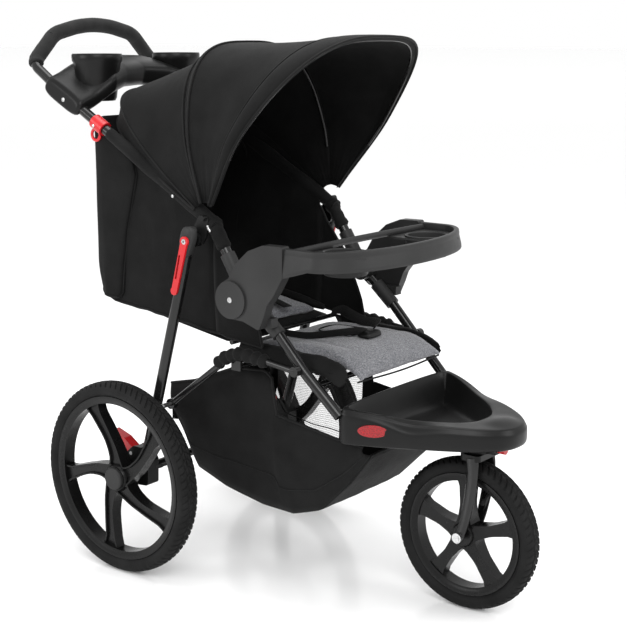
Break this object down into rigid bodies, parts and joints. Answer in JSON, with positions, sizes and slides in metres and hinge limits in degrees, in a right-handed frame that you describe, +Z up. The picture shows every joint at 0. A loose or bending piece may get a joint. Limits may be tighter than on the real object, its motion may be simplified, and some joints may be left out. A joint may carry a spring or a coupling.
{
  "type": "baby stroller",
  "caption": "Three-wheel folding jogging stroller with canopy, reclining padded seat, child tray, footrest, storage basket and parent console.",
  "frame": {"origin": "on the ground under the middle of the bounding box", "axes": "+Z up, -Y towards the front wheel, X left to right with left at -X"},
  "size_m": [0.6144, 1.179, 1.1419],
  "materials": {
    "tube_black": "gloss black painted steel tube",
    "wire_steel": "plated steel pins and wire",
    "plastic_black": "satin black moulded plastic",
    "plastic_grey": "satin dark grey moulded plastic",
    "plastic_red": "red moulded plastic",
    "lens_red": "red reflector lens",
    "tyre_rubber": "black pneumatic tyre",
    "foam": "black foam grip",
    "fabric_black": "black woven polyester",
    "fabric_grey": "grey heather fabric"
  },
  "bodies": {
    "rear_frame": {"rear_axle": "tube_black", "rear_leg_left": "tube_black", "rear_leg_right": "tube_black", "pivot_pins": "wire_steel", "leg_knuckles": "plastic_grey", "axle_housings": "plastic_black", "basket": "fabric_black"},
    "rear_wheel_left": {"rear_tyre_left": "tyre_rubber", "rear_rim_left": "plastic_black", "hub_cap_left": "plastic_grey"},
    "rear_wheel_right": {"rear_tyre_right": "tyre_rubber", "rear_rim_right": "plastic_black", "hub_cap_right": "plastic_grey"},
    "brake_pedal_left": {"brake_pedal_left": "plastic_red"},
    "brake_pedal_right": {"brake_pedal_right": "plastic_red"},
    "side_latch_left": {"side_latch_left": "plastic_red"},
    "side_latch_right": {"side_latch_right": "plastic_red"},
    "upper_frame": {"upper_tube_left": "tube_black", "upper_tube_right": "tube_black", "upper_sleeves": "plastic_grey", "leg_pivots": "plastic_black", "handle_bar": "tube_black", "foam_grip": "foam", "parent_console": "plastic_black", "canopy_rear": "fabric_black", "canopy_mid_bow": "tube_black", "side_gussets": "fabric_black", "head_wall": "fabric_black"},
    "fold_trigger_left": {"fold_trigger_left": "plastic_red"},
    "fold_trigger_right": {"fold_trigger_right": "plastic_red"},
    "canopy_front": {"canopy_visor": "fabric_black", "canopy_front_bow": "tube_black"},
    "front_frame": {"front_tube_left": "tube_black", "front_tube_right": "tube_black", "armrest_left": "plastic_grey", "armrest_right": "plastic_grey", "hub_bolts": "plastic_grey", "front_cross_bar": "tube_black", "footrest": "plastic_black", "reflectors": "lens_red", "swivel_housing": "plastic_black"},
    "swivel_lock": {"swivel_lock_knob": "plastic_red"},
    "front_fork": {"fork_crown": "plastic_black", "fork_blades": "tube_black", "front_axle_bolt": "wire_steel"},
    "front_wheel": {"front_tyre": "tyre_rubber", "front_rim": "plastic_black"},
    "child_tray": {"child_tray": "plastic_grey"},
    "seat_frame": {"seat_brace_left": "tube_black", "seat_brace_right": "tube_black", "seat_cross_bar": "tube_black", "seat_base": "fabric_black", "seat_pad": "fabric_grey", "seat_bolsters": "fabric_black", "crotch_pad": "fabric_grey", "harness_buckle": "plastic_black"},
    "back_hinge": {"backrest_hinge": "tube_black"},
    "backrest": {"backrest_board": "plastic_black", "back_pad": "fabric_grey", "shoulder_pads": "fabric_grey"}
  },
  "joints": [
    {"name": "fold", "type": "hinge", "parent": "rear_frame", "child": "upper_frame", "pos_m": [0, 0.074, 0.708], "axis": [-1, 0, 0], "range_deg": [0, 96], "deforming": ["basket", "side_gussets", "head_wall"]},
    {"name": "front_frame_fold", "type": "hinge", "parent": "upper_frame", "child": "front_frame", "pos_m": [0, -0.041, 0.605], "axis": [1, 0, 0], "range_deg": [0, 136]},
    {"name": "seat_brace_fold", "type": "hinge", "parent": "rear_frame", "child": "seat_frame", "pos_m": [0, 0.149, 0.36], "axis": [-1, 0, 0], "range_deg": [0, 37]},
    {"name": "seat_back_fold", "type": "hinge", "parent": "seat_frame", "child": "back_hinge", "pos_m": [0, 0.02, 0.5], "axis": [1, 0, 0], "range_deg": [0, 97]},
    {"name": "recline", "type": "hinge", "parent": "back_hinge", "child": "backrest", "pos_m": [0, 0.02, 0.5], "axis": [-1, 0, 0], "range_deg": [-55, 0]},
    {"name": "canopy_fold", "type": "hinge", "parent": "upper_frame", "child": "canopy_front", "pos_m": [0, 0.054, 0.752], "axis": [1, 0, 0], "range_deg": [-37, 0]},
    {"name": "rear_wheel_left_spin", "type": "hinge", "parent": "rear_frame", "child": "rear_wheel_left", "pos_m": [-0.281, 0.234, 0.203], "axis": [1, 0, 0], "continuous": true},
    {"name": "rear_wheel_right_spin", "type": "hinge", "parent": "rear_frame", "child": "rear_wheel_right", "pos_m": [0.281, 0.234, 0.203], "axis": [1, 0, 0], "continuous": true},
    {"name": "front_wheel_swivel", "type": "hinge", "parent": "front_frame", "child": "front_fork", "pos_m": [0, -0.456, 0.322], "axis": [0, 0, 1], "continuous": true},
    {"name": "front_wheel_spin", "type": "hinge", "parent": "front_fork", "child": "front_wheel", "pos_m": [0, -0.437, 0.1525], "axis": [1, 0, 0], "continuous": true},
    {"name": "swivel_lock_slide", "type": "slide", "parent": "front_frame", "child": "swivel_lock", "axis": [0, -1, 0], "range_m": [0, 0.006]},
    {"name": "tray_swing", "type": "hinge", "parent": "front_frame", "child": "child_tray", "pos_m": [-0.24, -0.168, 0.696], "axis": [0, 0, 1], "range_deg": [-100, 0]},
    {"name": "brake_pedal_left_press", "type": "hinge", "parent": "rear_frame", "child": "brake_pedal_left", "pos_m": [-0.231, 0.238, 0.244], "axis": [-1, 0, 0], "range_deg": [0, 12]},
    {"name": "side_latch_left_turn", "type": "hinge", "parent": "rear_frame", "child": "side_latch_left", "pos_m": [-0.245, 0.074, 0.708], "axis": [1, 0, 0], "range_deg": [-25, 0]},
    {"name": "fold_trigger_left_pull", "type": "slide", "parent": "upper_frame", "child": "fold_trigger_left", "axis": [0.0144, 0.8728, 0.4879], "range_m": [0, 0.012], "stiffness_N_per_m": 400},
    {"name": "brake_pedal_right_press", "type": "hinge", "parent": "rear_frame", "child": "brake_pedal_right", "pos_m": [0.231, 0.238, 0.244], "axis": [-1, 0, 0], "range_deg": [0, 12]},
    {"name": "side_latch_right_turn", "type": "hinge", "parent": "rear_frame", "child": "side_latch_right", "pos_m": [0.245, 0.074, 0.708], "axis": [1, 0, 0], "range_deg": [-25, 0]},
    {"name": "fold_trigger_right_pull", "type": "slide", "parent": "upper_frame", "child": "fold_trigger_right", "axis": [-0.0144, 0.8728, 0.4879], "range_m": [0, 0.012], "stiffness_N_per_m": 400}
  ],
  "couplings": [
    {"joint": "front_frame_fold", "follows": "fold", "ratio": 1.4098},
    {"joint": "seat_brace_fold", "follows": "fold", "ratio": 0.3839},
    {"joint": "seat_back_fold", "follows": "fold", "ratio": 1}
  ]
}
